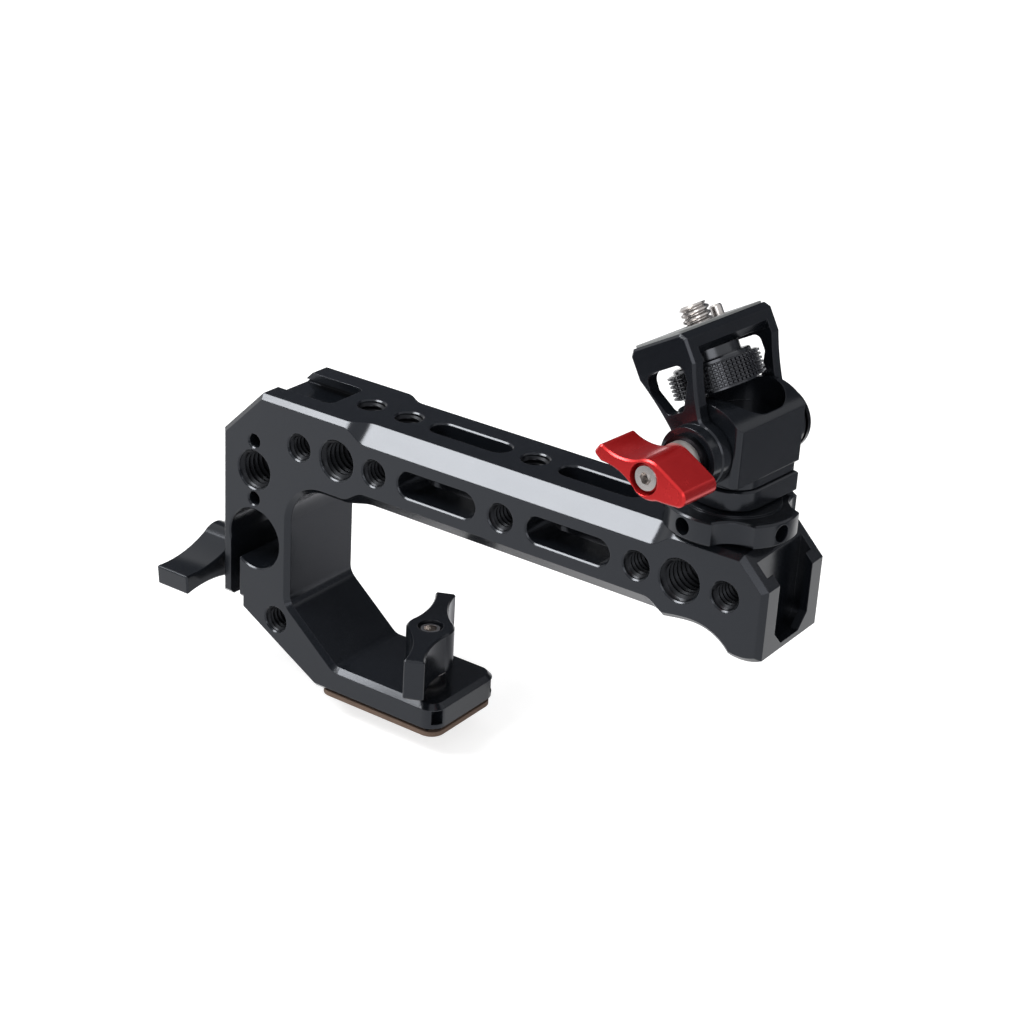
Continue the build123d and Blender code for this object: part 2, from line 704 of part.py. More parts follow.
with BuildPart() as bracket_pad:
    with BuildSketch(bracket_top.offset(plate_high)):
        RectangleRounded(12.6, 28.8, 1.0)
        Circle(screw_radius + 0.4, mode=Mode.SUBTRACT)
        with Locations(pin_place):
            Circle(pin_radius + 0.3, mode=Mode.SUBTRACT)
    extrude(amount=0.5)
save(bracket_pad.part, "bracket_pad")

# ---------------------------------------------------------------- monitor screw and pin
thumb_low = 10.9
thumb_high = 16.2
thumb_collar = 17.1
thumb_neck = 19.15
thumb_hub = 10.3            # underside of the low boss below the wheel
thumb_radius = 9.95
thumb_grooves = 40
thread_start = 24.8         # the screw's thread begins just above the pad
screw_tip = 28.75
screw_neck_radius = 2.5
screw_shank_radius = 3.0    # pressed into the wheel

with BuildPart() as thumbwheel:
    with BuildSketch(bracket_top.offset(thumb_low)):
        Circle(thumb_radius)
        with PolarLocations(thumb_radius + 0.15, thumb_grooves):
            Circle(0.45, mode=Mode.SUBTRACT)
    extrude(amount=thumb_high - thumb_low)
    with BuildSketch(bracket_top.offset(thumb_high)):
        Circle(8.4)
    extrude(amount=thumb_collar - thumb_high)
    with BuildSketch(bracket_top.offset(thumb_collar)):
        Circle(6.6)
    extrude(amount=thumb_neck - thumb_collar)
    with BuildSketch(bracket_top.offset(thumb_hub)):
        Circle(8.2)
    extrude(amount=thumb_low - thumb_hub)
    with BuildSketch(bracket_top.offset(thumb_hub)):
        Circle(screw_shank_radius)
    extrude(amount=thumb_neck - thumb_hub, mode=Mode.SUBTRACT)
save(thumbwheel.part, "thumbwheel")

with BuildPart() as quarter_inch_screw:
    with BuildSketch(bracket_side):
        with BuildLine():
            Polyline(
                (0, thumb_hub),
                (screw_shank_radius, thumb_hub),
                (screw_shank_radius, thumb_neck),
                (screw_neck_radius, thumb_neck),
                (screw_neck_radius, thread_start),
                (screw_radius, thread_start),
                (screw_radius, screw_tip - 0.5),
                (screw_radius - 0.5, screw_tip),
                (0, screw_tip),
                close=True,
            )
        make_face()
    revolve(axis=Axis(tilt_origin, bracket_q))
save(quarter_inch_screw.part, "quarter_inch_screw")

pin_line = Plane(
    origin=bracket_top.from_local_coords(pin_place + (0,)), x_dir=bracket_p, z_dir=bracket_q
)
with BuildPart() as anti_twist_pin:
    with BuildSketch(pin_line.offset(22.4)):
        Circle(pin_pocket_radius - 0.15)
    extrude(amount=0.5)
    with BuildSketch(pin_line.offset(22.4)):
        Circle(pin_radius)
    extrude(amount=pin_nose_start - 22.4)
    with BuildSketch(pin_line.offset(pin_nose_start)):
        Circle(pin_nose_radius)
    extrude(amount=pin_tip - pin_nose_start)
    chamfer(anti_twist_pin.faces().sort_by(Axis(tilt_origin, bracket_q))[-1].edges(), 0.35)
save(anti_twist_pin.part, "anti_twist_pin")
save(rings(pin_line, 1.5, 2.0, 19.85, 22.35), "pin_spring")
save(rings(pin_line, 0.4, pin_pocket_radius, plate_low, 19.8), "pin_plug")
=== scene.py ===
import json
import math
import bmesh
import bpy
from mathutils import Matrix, Vector


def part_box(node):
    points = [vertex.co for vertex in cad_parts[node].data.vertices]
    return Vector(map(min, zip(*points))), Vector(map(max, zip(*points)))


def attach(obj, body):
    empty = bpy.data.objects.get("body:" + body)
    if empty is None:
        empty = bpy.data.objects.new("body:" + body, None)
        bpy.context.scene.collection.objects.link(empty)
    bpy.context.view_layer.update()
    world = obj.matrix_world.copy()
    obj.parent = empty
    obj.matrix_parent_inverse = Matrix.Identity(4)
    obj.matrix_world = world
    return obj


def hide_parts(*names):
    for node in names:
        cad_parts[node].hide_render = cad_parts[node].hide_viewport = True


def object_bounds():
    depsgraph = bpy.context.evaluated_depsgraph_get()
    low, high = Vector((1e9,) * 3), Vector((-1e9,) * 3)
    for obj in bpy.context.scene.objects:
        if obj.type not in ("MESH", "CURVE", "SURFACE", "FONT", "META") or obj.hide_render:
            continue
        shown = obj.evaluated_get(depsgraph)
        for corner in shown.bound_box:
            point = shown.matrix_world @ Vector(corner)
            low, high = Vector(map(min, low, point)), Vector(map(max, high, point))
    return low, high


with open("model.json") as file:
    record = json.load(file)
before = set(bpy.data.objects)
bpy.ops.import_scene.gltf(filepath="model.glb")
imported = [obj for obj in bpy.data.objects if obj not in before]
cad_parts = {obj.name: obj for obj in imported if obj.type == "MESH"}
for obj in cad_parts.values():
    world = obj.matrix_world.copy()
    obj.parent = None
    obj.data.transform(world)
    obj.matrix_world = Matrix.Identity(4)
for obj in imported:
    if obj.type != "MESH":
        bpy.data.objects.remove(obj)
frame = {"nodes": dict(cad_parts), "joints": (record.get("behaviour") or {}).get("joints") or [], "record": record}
cadLow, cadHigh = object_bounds()

# Camera top handle with a rod clamp and a swivel monitor mount.
# The solids come from the frame.  Threads, knurl, finishes, stage, lights and camera are made here.
# Lengths in the dictionaries are in millimetres.
mm = 0.001
xAxis, yAxis, zAxis = Vector((1, 0, 0)), Vector((0, 1, 0)), Vector((0, 0, 1))

nodes = frame["nodes"]
joints = {joint["name"]: joint for joint in frame["joints"]}
handleLow, handleHigh = (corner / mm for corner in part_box("handle_body"))
tiltCentre = Vector(joints["bracket_tilt"]["pos_m"]) / mm
mountBack = Vector(joints["bracket_tilt"]["axis"])
mountAcross = mountBack.cross(zAxis)
bracketUp = Vector(joints["monitor_wheel_turn"]["axis"])
bracketAcross = mountBack.cross(bracketUp)


def hexToLinear(text):
    # an sRGB hex colour as the linear values that shaders take
    channels = [int(text[i:i + 2], 16) / 255 for i in (1, 3, 5)]
    return [c / 12.92 if c <= 0.04045 else ((c + 0.055) / 1.055) ** 2.4 for c in channels] + [1.0]


def addNode(tree, kind, settings=None, links=None):
    # adds one node, sets its inputs and properties, and joins its inputs to other sockets
    # inputs that share a name go by number: a colour mix has its colours at 6 and 7, its result at output 2
    node = tree.nodes.new(kind)
    for name, value in (settings or {}).items():
        if isinstance(name, int) or name in node.inputs:
            node.inputs[name].default_value = value
        else:
            setattr(node, name, value)
    for name, socket in (links or {}).items():
        tree.links.new(socket, node.inputs[name])
    return node


def startMaterial(name):
    # an empty material, and the object's own coordinates for its patterns
    material = bpy.data.materials.new(name)
    material.use_nodes = True
    tree = material.node_tree
    tree.nodes.clear()
    return material, tree, addNode(tree, "ShaderNodeTexCoord").outputs["Object"]


def addSurface(tree, settings, links=None):
    # the shader at the end of a material
    shader = addNode(tree, "ShaderNodeBsdfPrincipled", settings, links)
    addNode(tree, "ShaderNodeOutputMaterial", links={"Surface": shader.outputs["BSDF"]})


def anodisedAluminium(name, look):
    # machined, bead-blasted, dyed and sealed aluminium: an even satin skin with soft clear reflections
    # its grain is drawn coarser than the real blasting so that it shows, and its sharp edges look broken
    material, tree, place = startMaterial(name)
    grainScale, cloudScale = 1 / (look["grainSize"] * mm), 1 / (look["cloudSize"] * mm)
    grain = addNode(tree, "ShaderNodeTexNoise", {"Scale": grainScale, "Detail": 2.0}, {"Vector": place})
    clouds = addNode(tree, "ShaderNodeTexNoise", {"Scale": cloudScale, "Detail": 3.0}, {"Vector": place})
    softened = {"To Min": 0.2, "To Max": 0.8}
    shade = addNode(tree, "ShaderNodeMapRange", softened, {"Value": clouds.outputs["Fac"]})
    dyes = {"data_type": "RGBA", 6: hexToLinear(look["dark"]), 7: hexToLinear(look["light"])}
    colour = addNode(tree, "ShaderNodeMix", dyes, {"Factor": shade.outputs["Result"]})
    limits = {"To Min": look["roughness"] - look["uneven"], "To Max": look["roughness"] + look["uneven"]}
    roughness = addNode(tree, "ShaderNodeMapRange", limits, {"Value": clouds.outputs["Fac"]})
    rounding = addNode(tree, "ShaderNodeBevel", {"samples": 4, "Radius": look["edge"] * mm})
    relief = addNode(
        tree, "ShaderNodeBump", {"Distance": look["grainDepth"] * mm, "Strength": 0.6},
        {"Height": grain.outputs["Fac"], "Normal": rounding.outputs["Normal"]},
    )
    addSurface(
        tree,
        {
            "Metallic": look["metallic"],
            "Specular IOR Level": look["specular"],
            "Specular Tint": hexToLinear(look["tint"]),
        },
        {
            "Base Color": colour.outputs[2],
            "Roughness": roughness.outputs["Result"],
            "Normal": relief.outputs["Normal"],
        },
    )
    return material


def turnedSteel(name, look):
    # turned bar: bright, with a fine uneven grain that breaks its reflections up
    material, tree, place = startMaterial(name)
    grainScale, cloudScale = 1 / (look["grainSize"] * mm), 1 / (look["cloudSize"] * mm)
    grain = addNode(tree, "ShaderNodeTexNoise", {"Scale": grainScale, "Detail": 2.0}, {"Vector": place})
    clouds = addNode(tree, "ShaderNodeTexNoise", {"Scale": cloudScale, "Detail": 2.0}, {"Vector": place})
    limits = {"To Min": look["roughness"] - look["uneven"], "To Max": look["roughness"] + look["uneven"]}
    roughness = addNode(tree, "ShaderNodeMapRange", limits, {"Value": clouds.outputs["Fac"]})
    relief = addNode(
        tree, "ShaderNodeBump", {"Distance": look["grainDepth"] * mm, "Strength": 0.5},
        {"Height": grain.outputs["Fac"]},
    )
    addSurface(
        tree,
        {"Base Color": hexToLinear(look["colour"]), "Metallic": 1.0},
        {"Roughness": roughness.outputs["Result"], "Normal": relief.outputs["Normal"]},
    )
    return material


def mouldedSheet(name, look):
    # moulded rubber or plastic: matt, with a fine pebbled skin
    material, tree, place = startMaterial(name)
    pebbleScale, cloudScale = 1 / (look["pebbleSize"] * mm), 1 / (look["cloudSize"] * mm)
    pebbles = addNode(tree, "ShaderNodeTexVoronoi", {"Scale": pebbleScale}, {"Vector": place})
    clouds = addNode(tree, "ShaderNodeTexNoise", {"Scale": cloudScale, "Detail": 3.0}, {"Vector": place})
    pigments = {"data_type": "RGBA", 6: hexToLinear(look["dark"]), 7: hexToLinear(look["light"])}
    colour = addNode(tree, "ShaderNodeMix", pigments, {"Factor": clouds.outputs["Fac"]})
    relief = addNode(
        tree, "ShaderNodeBump", {"Distance": look["pebbleDepth"] * mm, "Strength": 0.5},
        {"Height": pebbles.outputs["Distance"]},
    )
    addSurface(
        tree, {"Roughness": look["roughness"]},
        {"Base Color": colour.outputs[2], "Normal": relief.outputs["Normal"]},
    )
    return material


finishes = {
    # the handle and the mount: nearly black, and glossy enough to mirror the studio
    "black_anodised": anodisedAluminium("BlackAnodisedAluminium", {
        "dark": "#0d0f13", "light": "#13161a", "cloudSize": 9.0, "grainSize": 0.25, "grainDepth": 0.005,
        "roughness": 0.19, "uneven": 0.04, "metallic": 0.0, "specular": 0.34, "tint": "#eef3ff", "edge": 0.25,
    }),
    # cut threads: the same dye, but drawn darker and with weaker reflections than an open face as painted shade
    # for the inside of the holes, and rougher
    "threadsInPaintedShade": anodisedAluminium("BlackAnodisedThreadsPaintedShade", {
        "dark": "#090a0c", "light": "#0d0e11", "cloudSize": 4.0, "grainSize": 0.25, "grainDepth": 0.002,
        "roughness": 0.36, "uneven": 0.04, "metallic": 0.0, "specular": 0.2, "tint": "#eef3ff", "edge": 0,
    }),
    # the knurled wheel: its many small tops sparkle more than a plain face
    "black_knurled": anodisedAluminium("BlackAnodisedKnurl", {
        "dark": "#0b0c0f", "light": "#111317", "cloudSize": 4.0, "grainSize": 0.3, "grainDepth": 0.002,
        "roughness": 0.2, "uneven": 0.04, "metallic": 0.0, "specular": 0.65, "tint": "#f2f6ff", "edge": 0.08,
    }),
    # the lever: a clear red dye lets the metal shine through, so its highlights are red too
    "red_anodised": anodisedAluminium("RedAnodisedAluminium", {
        "dark": "#ae1c1e", "light": "#c22426", "cloudSize": 6.0, "grainSize": 0.25, "grainDepth": 0.003,
        "roughness": 0.26, "uneven": 0.04, "metallic": 0.6, "specular": 0.4, "tint": "#ffffff", "edge": 0.35,
    }),
    # screws, stud, pin and spring: bright and sharp
    "steel": turnedSteel("TurnedStainlessSteel", {
        "colour": "#b6b2b0", "roughness": 0.24, "uneven": 0.06,
        "grainSize": 0.3, "grainDepth": 0.01, "cloudSize": 3.0,
    }),
    # washers: tumbled, so they are duller than turned screws
    "dullSteel": turnedSteel("TumbledSteel", {
        "colour": "#b6b2b0", "roughness": 0.46, "uneven": 0.06,
        "grainSize": 0.3, "grainDepth": 0.01, "cloudSize": 3.0,
    }),
    # the tilt bolt, its spacer ring and the mount's small inner screws: dark, but clearly metal
    "black_steel": turnedSteel("BlackenedSteel", {
        "colour": "#26262a", "roughness": 0.3, "uneven": 0.06,
        "grainSize": 0.3, "grainDepth": 0.01, "cloudSize": 3.0,
    }),
    # the pad under the foot: soft and dull
    "brown_rubber": mouldedSheet("BrownRubberSheet", {
        "dark": "#54443a", "light": "#6b5546", "cloudSize": 4.0,
        "roughness": 0.75, "pebbleSize": 0.6, "pebbleDepth": 0.05,
    }),
    # the pad on the mount's plate: soft, a little smoother
    "grey_rubber": mouldedSheet("GreyRubberSheet", {
        "dark": "#7a7c7c", "light": "#8e9090", "cloudSize": 4.0,
        "roughness": 0.65, "pebbleSize": 0.5, "pebbleDepth": 0.05,
    }),
    # the friction washers: pale and waxy
    "nylon": mouldedSheet("WhiteNylon", {
        "dark": "#d2d2cd", "light": "#dededa", "cloudSize": 4.0,
        "roughness": 0.5, "pebbleSize": 0.4, "pebbleDepth": 0.05,
    }),
}

slotOf = {row["node"]: row["material_slot"] for row in frame["record"]["subparts"]}
for nodeName, node in nodes.items():
    node.data.materials.clear()
    node.data.materials.append(finishes[slotOf[nodeName]])
for nodeName in ("lever_washer", "rod_clamp_washer", "foot_knob_washer"):
    nodes[nodeName].data.materials[0] = finishes["dullSteel"]
print("finishes put on", len(nodes), "solids")


def standOn(centre, axis, across):
    # the place of a piece that was made round its own z axis
    side = across - axis * across.dot(axis)
    side.normalize()
    turn = Matrix((side, axis.cross(side), axis)).transposed().to_4x4()
    return Matrix.Translation(centre) @ turn


def radiusOf(vertex):
    # how far a vertex is from the z axis
    return math.hypot(vertex.co.x, vertex.co.y)


def moveToRadius(vertex, radius):
    # moves a vertex straight out from the z axis or in towards it
    share = radius / radiusOf(vertex)
    vertex.co.x *= share
    vertex.co.y *= share


def movedLoop(mesh, edges, radius, height, sides=0):
    # extrudes a closed loop of edges to a circle or a polygon of that radius, at that height
    made = bmesh.ops.extrude_edge_only(mesh, edges=edges)["geom"]
    for vertex in [g for g in made if isinstance(g, bmesh.types.BMVert)]:
        angle = math.atan2(vertex.co.y, vertex.co.x)
        reach = radius
        if sides:
            step = 2 * math.pi / sides
            reach = radius / math.cos((angle % step) - step / 2)
        vertex.co = (reach * math.cos(angle), reach * math.sin(angle), height)
    return [g for g in made if isinstance(g, bmesh.types.BMEdge)]


def turnedSteps(mesh, edges, steps):
    # a turned shape: a loop of edges drawn through circles, each with its radius and height
    for radius, height in steps:
        edges = movedLoop(mesh, edges, radius, height)
    return edges


def closeEnd(mesh, edges, radius, height):
    # draws an open end in to a small circle and closes it
    bmesh.ops.edgeloop_fill(mesh, edges=movedLoop(mesh, edges, radius, height))


def hexSocket(mesh, edges, screw):
    # sinks a hexagonal socket with a drilled cone at its bottom into the end of a screw's last step
    socket = screw["socket"]
    top = screw["steps"][-1][1]
    edges = movedLoop(mesh, edges, socket["radius"], top, sides=6)
    edges = movedLoop(mesh, edges, socket["radius"], top - socket["depth"], sides=6)
    closeEnd(mesh, edges, socket["coneTip"], top - socket["depth"] - socket["coneDepth"])


# within these distances points are made one, are cut off, or belong to an open end
nearness = {"turns": 0.002, "cut": 0.0001, "rim": 0.01, "seam": 0.0005}

# a thread's flanks: root or crest, and how far along the pitch
threadFlanks = [("root", 0.0), ("root", 0.1), ("crest", 0.42), ("crest", 0.68), ("root", 1.0)]


def helix(thread, low, high):
    # a screw thread's flanks as an open skin from one height to another
    mesh = bmesh.new()
    pitch = thread["pitch"]
    spareTurns = 1.5  # past each end, cut away below
    bottom = low - spareTurns * pitch
    corners = [mesh.verts.new((thread[edge], 0, bottom + share * pitch)) for edge, share in threadFlanks]
    edges = [mesh.edges.new(pair) for pair in zip(corners, corners[1:])]
    turns = math.ceil((high - low) / pitch) + round(2 * spareTurns)
    bmesh.ops.spin(
        mesh,
        geom=corners + edges,
        cent=(0, 0, 0),
        axis=(0, 0, 1),
        dvec=(0, 0, pitch / thread["segments"]),
        angle=2 * math.pi * turns,
        steps=thread["segments"] * turns,
        use_merge=False,
    )
    bmesh.ops.remove_doubles(mesh, verts=mesh.verts[:], dist=nearness["turns"])
    for height, direction in ((low, -1), (high, 1)):
        bmesh.ops.bisect_plane(
            mesh,
            geom=mesh.verts[:] + mesh.edges[:] + mesh.faces[:],
            dist=nearness["cut"],
            plane_co=(0, 0, height),
            plane_no=(0, 0, direction),
            clear_outer=True,
        )
    return mesh


def rimAt(mesh, height):
    # the open edges at one end of a skin
    near = nearness["rim"]
    return [e for e in mesh.edges if e.is_boundary and all(abs(v.co.z - height) < near for v in e.verts)]


def finishPiece(mesh, name, body, slotName, place, smoothAngle=35):
    # closes a piece's mesh, puts it in place and lets it ride on its body
    bmesh.ops.remove_doubles(mesh, verts=mesh.verts[:], dist=nearness["seam"])
    bmesh.ops.recalc_face_normals(mesh, faces=mesh.faces[:])
    bmesh.ops.transform(mesh, matrix=Matrix.Diagonal((mm, mm, mm, 1)) @ place, verts=mesh.verts[:])
    data = bpy.data.meshes.new(name)
    mesh.to_mesh(data)
    mesh.free()
    data.materials.append(finishes[slotName])
    data.shade_smooth()
    data.set_sharp_from_angle(angle=math.radians(smoothAngle))
    piece = bpy.data.objects.new(name, data)
    bpy.context.scene.collection.objects.link(piece)
    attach(piece, body)
    return piece


def threadedSleeve(thread, depth):
    # the inside of a threaded hole as a thin closed sleeve, from z = 0 to its depth
    mesh = helix(thread, 0.0, depth)
    for vertex in mesh.verts:
        nearEnd = min(vertex.co.z, depth - vertex.co.z)
        least = thread["root"] - max(0.0, nearEnd - thread["leadIn"])
        if radiusOf(vertex) < least:
            moveToRadius(vertex, least)
    outer = thread["root"] + thread["wall"]
    lowEdges = movedLoop(mesh, rimAt(mesh, 0.0), outer, 0.0)
    highEdges = movedLoop(mesh, rimAt(mesh, depth), outer, depth)
    bmesh.ops.bridge_loops(mesh, edges=lowEdges + highEdges)
    return mesh


def threadHoles(name, thread, holes):
    # the threads of several of the handle's holes as one piece, each with its mouth, direction and depth
    joined = bmesh.new()
    for mouth, direction, depth in holes:
        sleeve = threadedSleeve(thread, depth)
        bmesh.ops.recalc_face_normals(sleeve, faces=sleeve.faces[:])
        bmesh.ops.transform(sleeve, matrix=standOn(mouth, direction, xAxis), verts=sleeve.verts[:])
        loose = bpy.data.meshes.new("loose")
        sleeve.to_mesh(loose)
        sleeve.free()
        joined.from_mesh(loose)
        bpy.data.meshes.remove(loose)
    threads = finishPiece(joined, name, "handle", "black_anodised", Matrix.Identity(4))
    # the darker, less reflective thread finish is painted shade for the inside of the holes
    threads.data.materials[0] = finishes["threadsInPaintedShade"]


# 20 and 16 turns an inch
quarterThread = {
    "pitch": 1.27, "root": 3.18, "crest": 2.6, "segments": 28, "wall": 0.12, "leadIn": 0.24,
}
threeEighthThread = {
    "pitch": 1.5875, "root": 4.78, "crest": 4.02, "segments": 36, "wall": 0.12, "leadIn": 0.24,
}

# places are measured along the beam from the handle's left end, with how far down from the beam's top
# the holes across it are, and how deep the holes from above are
handleThreads = {
    "mouth": 0.36,  # how deep a thread starts
    "floorGap": 0.05,  # how far above a blind hole's floor it ends
    "quarterAcross": [
        (23.98, 10.1), (46.06, 10.1), (81.41, 10.1), (116.63, 10.1), (138.27, 10.1), (17.43, 57.15),
    ],
    "threeEighthAcross": [(35.13, 10.1), (127.3, 10.1), (10.26, 19.77)],
    "quarterFromAbove": [(35.13, 4.7), (46.06, 6.0), (81.41, 6.0)],
}
mouth = handleThreads["mouth"]


def acrossHandle(places):
    # holes that run through the handle from front to back
    front = handleLow.y + mouth
    mouths = [Vector((handleLow.x + along, front, handleHigh.z - down)) for along, down in places]
    return [(centre, yAxis, -2 * front) for centre in mouths]


def fromAbove(places):
    # blind holes in the beam's top
    top = handleHigh.z - mouth
    cut = mouth + handleThreads["floorGap"]
    return [(Vector((handleLow.x + along, 0, top)), -zAxis, depth - cut) for along, depth in places]


threadHoles("quarterInchThreads", quarterThread, acrossHandle(handleThreads["quarterAcross"]))
threadHoles("threeEighthThreads", threeEighthThread, acrossHandle(handleThreads["threeEighthAcross"]))
threadHoles("topQuarterThreads", quarterThread, fromAbove(handleThreads["quarterFromAbove"]))
print("threads cut in the handle's holes")


def chamferTip(mesh, screw):
    # cuts the thread's corner off at 45 degrees at the screw's tip
    for vertex in mesh.verts:
        most = screw["thread"]["crest"] - max(0, screw["tipChamfer"] - abs(vertex.co.z - screw["tip"]))
        if radiusOf(vertex) > most:
            moveToRadius(vertex, most)


# heights are measured from the tilt axis, up the bracket
monitorScrew = {
    "thread": {"pitch": 1.27, "root": 2.5, "crest": 3.175, "segments": 40},
    "threadStart": 24.8,
    "tip": 28.75,
    "tipChamfer": 0.6,
    "tipFace": 1.6,
    "steps": [(2.5, 24.8), (2.5, 19.15), (3.0, 19.15), (3.0, 10.3), (0.3, 10.3)],
}
mesh = helix(monitorScrew["thread"], monitorScrew["threadStart"], monitorScrew["tip"])
chamferTip(mesh, monitorScrew)
edges = turnedSteps(mesh, rimAt(mesh, monitorScrew["threadStart"]), monitorScrew["steps"])
bmesh.ops.edgeloop_fill(mesh, edges=edges)
closeEnd(mesh, rimAt(mesh, monitorScrew["tip"]), monitorScrew["tipFace"], monitorScrew["tip"])
onBracket = standOn(tiltCentre, bracketUp, bracketAcross)
screw = finishPiece(mesh, "monitorScrew", "monitor_wheel", "steel", onBracket)
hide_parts("quarter_inch_screw")

# heights are measured from the foot's underside
footStud = {
    "thread": {"pitch": 1.27, "root": 2.5, "crest": 3.175, "segments": 42},
    "threadEnd": 0.6,
    "tip": -5.2,
    "tipChamfer": 0.5,
    "tipFace": 0.3,
    "steps": [(2.5, 0.6), (2.5, 1.6), (3.175, 1.6), (3.175, 11.2), (2.6, 11.2), (2.6, 20.6), (2.3, 20.9)],
    "socket": {"radius": 1.5, "depth": 1.8, "coneTip": 0.2, "coneDepth": 0.3},
}
mesh = helix(footStud["thread"], footStud["tip"], footStud["threadEnd"])
chamferTip(mesh, footStud)
closeEnd(mesh, rimAt(mesh, footStud["tip"]), footStud["tipFace"], footStud["tip"])
edges = turnedSteps(mesh, rimAt(mesh, footStud["threadEnd"]), footStud["steps"])
hexSocket(mesh, edges, footStud)
footCentre = Vector(joints["foot_knob_turn"]["pos_m"]) / mm
stud = finishPiece(mesh, "footStud", "foot_knob", "steel", standOn(footCentre, zAxis, xAxis))
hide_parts("foot_stud")
print("threaded screws made")

# heights are measured from the mount's axis, towards the lever
leverScrew = {
    "segments": 48,
    "shankEnd": 22.1,
    "shankEndRadius": 1.65,
    "steps": [(1.95, 22.4), (1.95, 29.0), (2.9, 29.0), (2.9, 31.2), (2.6, 31.5)],
    "socket": {"radius": 1.25, "depth": 2.1, "coneTip": 0.2, "coneDepth": 0.35},
}
mesh = bmesh.new()
bmesh.ops.create_circle(
    mesh, cap_ends=True, segments=leverScrew["segments"], radius=leverScrew["shankEndRadius"],
    matrix=Matrix.Translation((0, 0, leverScrew["shankEnd"])),
)
edges = turnedSteps(mesh, mesh.edges[:], leverScrew["steps"])
hexSocket(mesh, edges, leverScrew)
screw = finishPiece(mesh, "leverScrew", "lever", "steel", standOn(tiltCentre, -mountBack, mountAcross))
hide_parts("lever_screw")
print("lever screw made")

knurledWheel = {
    "low": 10.9,
    "high": 16.2,
    "crest": 9.93,
    "valley": 9.45,
    "margin": 0.08,
    "rows": 6,
    "columns": 60,
    "groove": 0.16,
    "land": 0.4,
    "collar": [(9.2, 16.2), (8.4, 16.2), (8.4, 16.8), (8.1, 17.1), (6.6, 17.1), (6.6, 19.15), (3.02, 19.15)],
    "hub": [(9.2, 10.9), (8.2, 10.9), (8.2, 10.5), (8.0, 10.3), (3.02, 10.3)],
    "smoothAngle": 25,
}
mesh = bmesh.new()
bandLow = knurledWheel["low"] + knurledWheel["margin"]
bandHigh = knurledWheel["high"] - knurledWheel["margin"]
rowHeight = (bandHigh - bandLow) / knurledWheel["rows"]
bmesh.ops.create_circle(
    mesh, segments=knurledWheel["columns"], radius=knurledWheel["valley"],
    matrix=Matrix.Translation((0, 0, bandLow)),
)
bottomEdges = mesh.edges[:]
rowTops = [(knurledWheel["valley"], bandLow + (row + 1) * rowHeight) for row in range(knurledWheel["rows"])]
edges = turnedSteps(mesh, bottomEdges, rowTops)
band = mesh.faces[:]
edges = turnedSteps(mesh, edges, knurledWheel["collar"])
bottomEdges = turnedSteps(mesh, bottomEdges, knurledWheel["hub"])
bmesh.ops.bridge_loops(mesh, edges=edges + bottomEdges)
bmesh.ops.recalc_face_normals(mesh, faces=mesh.faces[:])
# each square of the knurl: a narrow groove's floor, sloping sides and a small flat top
bmesh.ops.inset_individual(mesh, faces=band, thickness=knurledWheel["groove"] / 2, use_even_offset=True)
bmesh.ops.inset_individual(
    mesh,
    faces=band,
    thickness=(rowHeight - knurledWheel["groove"] - knurledWheel["land"]) / 2,
    depth=knurledWheel["crest"] - knurledWheel["valley"],
    use_even_offset=True,
)
wheel = finishPiece(
    mesh, "knurledWheel", "monitor_wheel", "black_knurled", onBracket, knurledWheel["smoothAngle"]
)
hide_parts("thumbwheel")
print("knurled wheel made")


def linkStage(name, mesh, material):
    # a floor or a card of the studio, no part of the object
    data = bpy.data.meshes.new(name)
    mesh.to_mesh(data)
    mesh.free()
    data.materials.append(material)
    piece = bpy.data.objects.new(name, data)
    bpy.context.scene.collection.objects.link(piece)
    return piece


def linkCard(name, mesh, colour):
    # grey felt that only reflections see: it has no gloss, and neither lights nor shades the object; it puts a
    # painted reflection, darker than the white around it, on the faces that mirror it
    settings = {"Base Color": hexToLinear(colour), "Roughness": 1.0, "Specular IOR Level": 0.0}
    felt, tree = startMaterial(name + "Felt")[:2]
    addSurface(tree, settings)
    card = linkStage(name, mesh, felt)
    card.visible_camera = False
    card.visible_diffuse = False
    card.visible_shadow = False


def flatSheet(low, high, height):
    # a level rectangle between two corners
    mesh = bmesh.new()
    bmesh.ops.create_grid(mesh, x_segments=1, y_segments=1, size=0.5)
    bmesh.ops.scale(mesh, vec=(high[0] - low[0], high[1] - low[1], 1), verts=mesh.verts[:])
    centre = ((low[0] + high[0]) / 2, (low[1] + high[1]) / 2, height)
    bmesh.ops.translate(mesh, vec=centre, verts=mesh.verts[:])
    bmesh.ops.scale(mesh, vec=(mm, mm, mm), verts=mesh.verts[:])
    return mesh


def seenDirectly(tree):
    # 1 where the camera, a reflection or a transparent surface looks, 0 for the light that it gives
    rays = addNode(tree, "ShaderNodeLightPath").outputs
    bent = {0: rays["Is Glossy Ray"], 1: rays["Is Transmission Ray"]}
    mirrored = addNode(tree, "ShaderNodeMath", {"operation": "MAXIMUM"}, bent)
    either = {0: rays["Is Camera Ray"], 1: mirrored.outputs["Value"]}
    return addNode(tree, "ShaderNodeMath", {"operation": "MAXIMUM"}, either).outputs["Value"]


studio = {
    "floorReach": 3000,
    "floorGap": 0.2,
    "floorColour": "#c8c8c8",
    "floorGlow": 0.7,
    "worldLight": 0.55,
}

# matt white paper: it takes the object's shadow, and is lifted to white where it is seen
paper, tree = startMaterial("WhitePaperFloor")[:2]
glow = addNode(tree, "ShaderNodeMapRange", {"To Max": studio["floorGlow"]}, {"Value": seenDirectly(tree)})
addSurface(
    tree,
    {
        "Base Color": hexToLinear(studio["floorColour"]),
        "Roughness": 0.9,
        "Specular IOR Level": 0.1,
        "Emission Color": (1, 1, 1, 1),
    },
    {"Emission Strength": glow.outputs["Result"]},
)
floorHeight = cadLow.z / mm - studio["floorGap"]
reach = studio["floorReach"]
linkStage("studioFloor", flatSheet((-reach, -reach), (reach, reach), floorHeight), paper)

